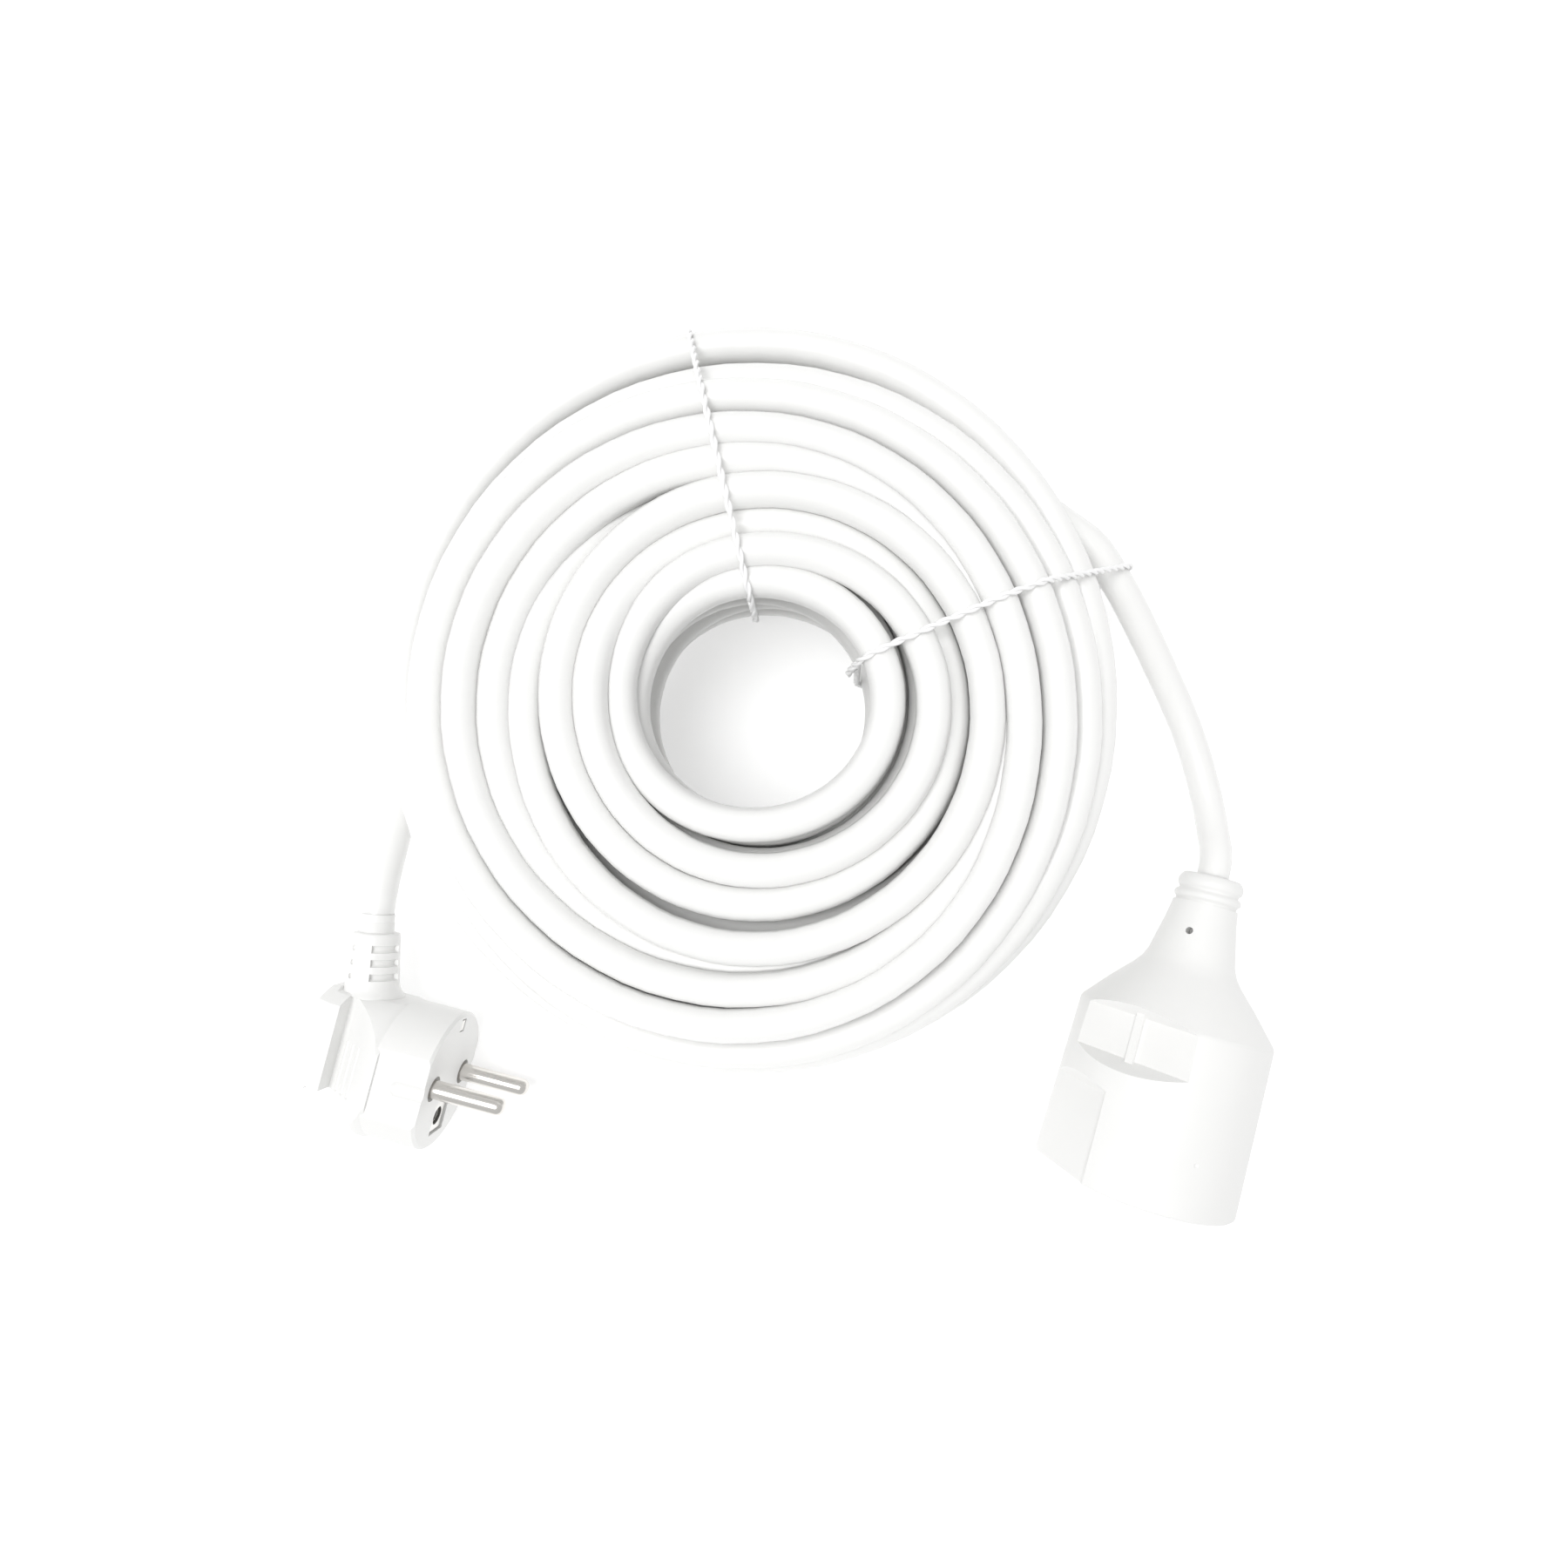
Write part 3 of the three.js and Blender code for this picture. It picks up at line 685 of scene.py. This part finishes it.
def add_socket_body():
    bore = LINER_RADIUS + GAP
    outside = [(bore, 0), (RIM_RADIUS - 0.6, 0), (RIM_RADIUS, 0.6),
               (SHOULDER_RADIUS + 0.1, BODY_LENGTH - 0.6), (SHOULDER_RADIUS - 0.4, BODY_LENGTH + 0.4),
               (17.6, 50.2), (13.2, 55.0), (11.6, 57.2), (10.6, 59.6), (10.0, 62.5), (8.6, 69),
               (7.9, NECK_END)]
    inside = [(CORD_BORE, NECK_END), (CORD_BORE, 57), (5, 56), (14.2, 45), (14.2, 26.4), (bore, 26.4)]
    shell = turned(outside + inside, "Y", 160)
    grip = swung(hand_grip_pocket(), -GRIP_FACING, "Y")
    panel = swung(side_panel_pocket(), -PANEL_FACING, "Y")
    holes = []
    for angle in NECK_HOLES_FACING:
        hole = swung(rod(0.9, 4.4, 14, "Y", 24), 90, "X")
        holes.append(shifted(swung(hole, -angle, "Y"), 0, NECK_HOLES_AT, 0))
    dimple = ball(0.9, (3.2, 13.5, RIM_RADIUS + 0.1))
    body = cut(shell, grip, panel, *holes, dimple)
    finished(body, "socket_shell", SOCKET, ["socket_body"], "body_pvc", soften=0.4)


def add_socket_liner():
    profile = [(0, RECESS_DEPTH), (RECESS_RADIUS, RECESS_DEPTH), (RECESS_RADIUS, 0.5),
               (RECESS_RADIUS + 0.3, 0),
               (LINER_RADIUS, 0), (LINER_RADIUS, FLOOR_BACK), (0, FLOOR_BACK)]
    cup = turned(profile, "Y", 128)
    back = FLOOR_BACK - 0.5
    keys = [block((side * 18.7 - 1.3, 1, -2.2), (side * 18.7 + 1.3, 18, 2.2)) for side in SIDES]
    rails = [block((side * 14.4 - 0.8, back, -11.5), (side * 14.4 + 0.8, 25.2, 11.5)) for side in SIDES]
    spring_seat = block((-2.6, back, -16.8), (2.6, 25.2, -15.4))
    holes = []
    for side in SIDES:
        funnel = [(0, 16), (3.5, 16), (3.5, RECESS_DEPTH), (2.9, RECESS_DEPTH + 0.6), (2.9, 23), (0, 23)]
        holes.append(shifted(turned(funnel, "Y", 48), side * PIN_SPACING / 2, 0, 0))
        holes.append(block((-3.3, 16, side * 18.2 - 0.8), (3.3, 23, side * 18.2 + 0.8)))
    cup = cut(joined(cup, *keys, *rails, spring_seat), *holes)
    finished(cup, "socket_liner", SOCKET, ["socket_insert"], "hard_plastic", soften=0.2)


def add_socket_relief():
    start = NECK_END + 0.02
    profile = [(CORD_BORE, start), (7.4, start), (7.4, start + 0.8), (7.8, start + 1.1), (8.1, start + 1.5),
               (8.1, start + 2.3), (7.8, start + 2.8), (7.2, start + 3.2), (7.2, start + 3.7),
               (7.6, start + 4.1), (7.9, start + 4.5), (7.9, SOCKET_LENGTH - 0.7), (7.5, SOCKET_LENGTH + 0.1),
               (6.9, SOCKET_LENGTH + LIP),
               (SNUG, SOCKET_LENGTH + LIP), (SNUG, SOCKET_LENGTH - 0.8), (CORD_BORE, SOCKET_LENGTH - 1.2)]
    finished(turned(profile, "Y", 96), "socket_collar", SOCKET, ["socket_strain_relief"], "body_pvc",
             crisp=60)


add_socket_body()
add_socket_liner()
add_socket_relief()

# The shutter's spring: a wound wire filling the height of the spring's place

WIRE_RADIUS = 0.25
SPRING_RADIUS = 1.6
SPRING_TURNS = 5


def add_spring():
    foot = spring_low.z + WIRE_RADIUS * MM
    rise = (spring_high.z - spring_low.z) / MM - 2 * WIRE_RADIUS
    steps = SPRING_TURNS * 20
    form = bmesh.new()
    start = Matrix.Translation((SPRING_RADIUS, 0, 0)) @ Matrix.Rotation(math.pi / 2, 4, "X")
    bmesh.ops.create_circle(form, cap_ends=True, segments=10, radius=WIRE_RADIUS, matrix=start)
    bmesh.ops.spin(form, geom=form.verts[:] + form.edges[:] + form.faces[:], cent=(0, 0, 0), axis=(0, 0, 1),
                   dvec=(0, 0, rise / steps), angle=math.tau * SPRING_TURNS, steps=steps)
    bmesh.ops.recalc_face_normals(form, faces=form.faces)
    centre = Vector(((spring_low.x + spring_high.x) / 2, (spring_low.y + spring_high.y) / 2, foot))
    spring = finished(form, "wound_spring", centre, ["shutter_spring"], "spring_steel", crisp=60)
    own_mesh(spring)


add_spring()

# Wire ties: two plastic-coated wires twisted round the coil, with their ends twisted together in the hole

TIES = {"tie_top": (118.0, 4.0), "tie_right": (38.3, 1.9)}   # heading in degrees, miss of the coil's centre
TIE_WIRE = 0.42
TIE_TWIST = 7.0        # length of one full twist
TIE_STEP = 0.55        # between the points of a tie's line
TIE_CLEAR = 0.85       # from the cord's surface to the middle of the pair
TIE_SPREAD = 0.95 * TIE_WIRE    # from the pair's middle to each wire's


def coil_section(heading, aside):
    """Where the cord crosses the tie's plane, as (distance from the coil's middle, height)."""
    along = Vector((math.cos(heading), math.sin(heading), 0))
    normal = Vector((math.sin(heading), -math.cos(heading), 0))
    crossings = []
    places = [(place - COIL) / MM for place in path]
    for before, after in zip(places, places[1:]):
        start = before.dot(normal) - aside
        end = after.dot(normal) - aside
        if start * end < 0:
            middle = before.lerp(after, start / (start - end))
            if middle.dot(along) > 0:
                crossings.append((middle.dot(along), middle.z))
    return crossings


def turn_of(a, b, c):
    """Positive where the line from a through b turns left to reach c."""
    return (b[0] - a[0]) * (c[1] - a[1]) - (b[1] - a[1]) * (c[0] - a[0])


def taut_loop(crossings):
    """The shortest closed line round the cord's turns, as (distance, height), going up the outside."""
    reach = CORD_RADIUS + TIE_CLEAR
    rim = []
    for distance, height in crossings:
        for step in range(24):
            angle = math.tau * step / 24
            lifted = max(height + reach * math.sin(angle), TIE_CLEAR)
            rim.append((distance + reach * math.cos(angle), lifted))
    rim = sorted(set(rim))

    def half(points):
        chain = []
        for point in points:
            while len(chain) > 1 and turn_of(chain[-2], chain[-1], point) <= 0:
                chain.pop()
            chain.append(point)
        return chain[:-1]

    return half(rim) + half(rim[::-1])


def evenly(points, spacing):
    """The line through the points again, with its points evenly spaced."""
    result = [Vector(points[0])]
    left = spacing
    for start, end in zip(points, points[1:]):
        start, end = Vector(start), Vector(end)
        length = (end - start).length
        travelled = 0
        while length - travelled >= left:
            travelled += left
            result.append(start.lerp(end, travelled / length))
            left = spacing
        left -= length - travelled
    return result


def tie_line(heading, aside):
    """The tie's middle line, from its tail in the hole round the coil's section and back to the tail."""
    loop = taut_loop(coil_section(heading, aside))
    knot = min(range(len(loop)), key=lambda index: loop[index][0] - 0.05 * loop[index][1])
    loop = loop[knot:] + loop[:knot] + [loop[knot]]
    inner, height = loop[0]
    tail = [(inner - 1.8, height - 9), (inner - 1.7, height - 6), (inner - 1.0, height - 2.5)]
    flat = evenly(tail + loop[::-1] + [(inner - 0.8, height - 3), (inner - 1.3, height - 6.5)], TIE_STEP)
    for _ in range(3):
        flat = [flat[0]] + [(a + 2 * b + c) / 4 for a, b, c in zip(flat, flat[1:], flat[2:])] + [flat[-1]]
    along = Vector((math.cos(heading), math.sin(heading), 0))
    normal = Vector((math.sin(heading), -math.cos(heading), 0))
    return [along * point[0] + normal * aside + Vector((0, 0, point[1])) for point in flat], normal


def add_tie(node, heading, aside):
    line, normal = tie_line(math.radians(heading), aside)
    runs = []
    for wire in range(2):
        run = []
        for index, place in enumerate(line):
            ahead = line[min(index + 1, len(line) - 1)] - line[max(index - 1, 0)]
            sideways = ahead.cross(normal).normalized()
            angle = math.tau * index * TIE_STEP / TIE_TWIST + math.pi * wire
            place = place + (normal * math.cos(angle) + sideways * math.sin(angle)) * TIE_SPREAD
            run.append(metres(*place))
        runs.append(run)
    wires(f"twisted_{node}", runs, TIE_WIRE, node, "tie_plastic")


for node, (heading, aside) in TIES.items():
    add_tie(node, heading, aside)

# The finishes on the pieces


def dress(piece, material):
    slots = piece.data.materials
    slots.clear()
    slots.append(material)


def dress_everything():
    for entry in frame["record"]["subparts"]:
        dress(frame["nodes"][entry["node"]], FINISHES[entry["material_slot"]])
    for piece in bpy.data.objects:
        if piece.type == "MESH" and piece.get("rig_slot"):
            dress(piece, FINISHES[piece["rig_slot"]])


dress_everything()

# Room: a pale floor that glows a little, under a broad soft light from above and a little to the left

SKY_STRENGTH = 0.69
OVERHEAD_PLACE = (-0.26, -0.08, 1.1)    # in metres, as the light's size
OVERHEAD_SIZE = 0.6
OVERHEAD_POWER = 6.9                    # watts
PAPER_GLOW = 0.38


def add_light(name, place, size, power, aim=(0, 0, 0)):
    data = bpy.data.lights.new(name, "AREA")
    data.shape = "DISK"
    data.size = size
    data.energy = power
    light = bpy.data.objects.new(name, data)
    light.location = place
    light.rotation_euler = (Vector(aim) - Vector(place)).to_track_quat("-Z", "Y").to_euler()
    bpy.context.scene.collection.objects.link(light)


def add_room():
    world = bpy.data.worlds.new("studio")
    world.use_nodes = True
    world.node_tree.nodes["Background"].inputs["Color"].default_value = (1, 1, 1, 1)
    world.node_tree.nodes["Background"].inputs["Strength"].default_value = SKY_STRENGTH
    bpy.context.scene.world = world
    add_light("overhead", OVERHEAD_PLACE, OVERHEAD_SIZE, OVERHEAD_POWER)
    mesh = bpy.data.meshes.new("floor")
    form = bmesh.new()
    bmesh.ops.create_grid(form, x_segments=1, y_segments=1, size=3)
    form.to_mesh(mesh)
    form.free()
    floor = bpy.data.objects.new("floor", mesh)
    paper = bpy.data.materials.new("paper")
    paper.use_nodes = True
    shader = paper.node_tree.nodes["Principled BSDF"]
    shader.inputs["Base Color"].default_value = (0.82, 0.82, 0.82, 1)
    shader.inputs["Roughness"].default_value = 0.9
    shader.inputs["Emission Color"].default_value = (1, 1, 1, 1)
    shader.inputs["Emission Strength"].default_value = PAPER_GLOW
    mesh.materials.append(paper)
    bpy.context.scene.collection.objects.link(floor)
    bpy.context.scene.view_settings.view_transform = "Standard"


add_room()
